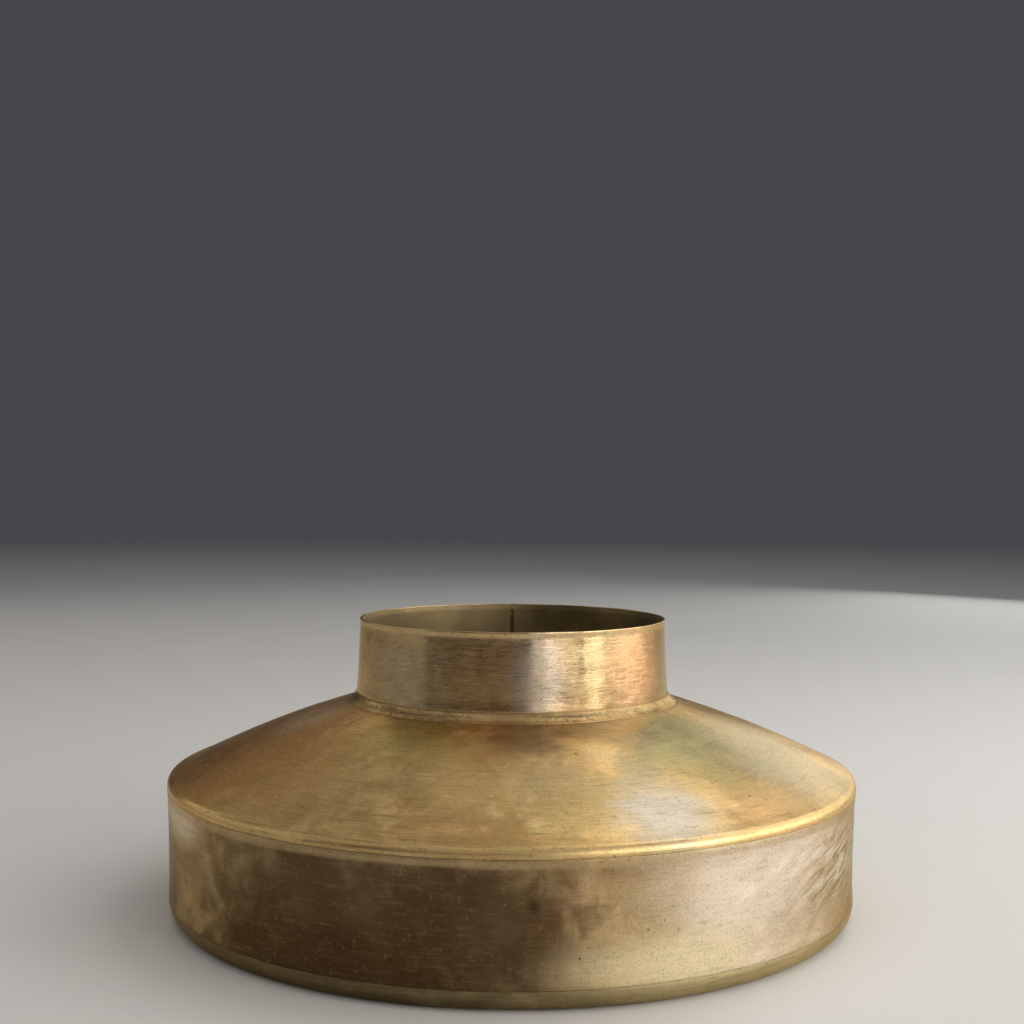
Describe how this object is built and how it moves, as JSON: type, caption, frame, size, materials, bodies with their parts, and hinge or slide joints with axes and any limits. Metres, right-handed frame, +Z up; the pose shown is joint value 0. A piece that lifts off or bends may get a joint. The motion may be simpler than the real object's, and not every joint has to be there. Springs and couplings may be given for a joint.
{
  "type": "planter pot",
  "caption": "Squat brass planter pot: a wide drum with a rounded base corner, a sloping shoulder and a short open neck, brazed from sheet pieces.",
  "frame": {"origin": "The middle of the footprint, on the surface that the pot stands on.", "axes": "+Z is up, along the axis that every piece is turned around, towards the mouth. +Y points to the back of the pot, where the seams of the two rolled bands are. +X points to the right, seen from the front."},
  "size_m": [0.33, 0.33, 0.1373],
  "materials": {
    "neck_brass": "aged brown brass, hand polished, fine rings of scratches",
    "shoulder_brass": "aged golden and olive brass, satin, fine rings of scratches",
    "wall_brass": "aged golden brown brass, hand polished, fine level scratches",
    "base_brass": "dull greenish brown brass",
    "brazing_filler": "pale satin brass filler, filed smooth"
  },
  "bodies": {
    "root": {"neck_collar": "neck_brass", "neck_seam_braze": "brazing_filler", "neck_braze": "brazing_filler", "shoulder_shell": "shoulder_brass", "shoulder_braze": "brazing_filler", "drum_wall": "wall_brass", "wall_seam_braze": "brazing_filler", "base_pan": "base_brass", "base_braze": "brazing_filler"}
  },
  "joints": []
}
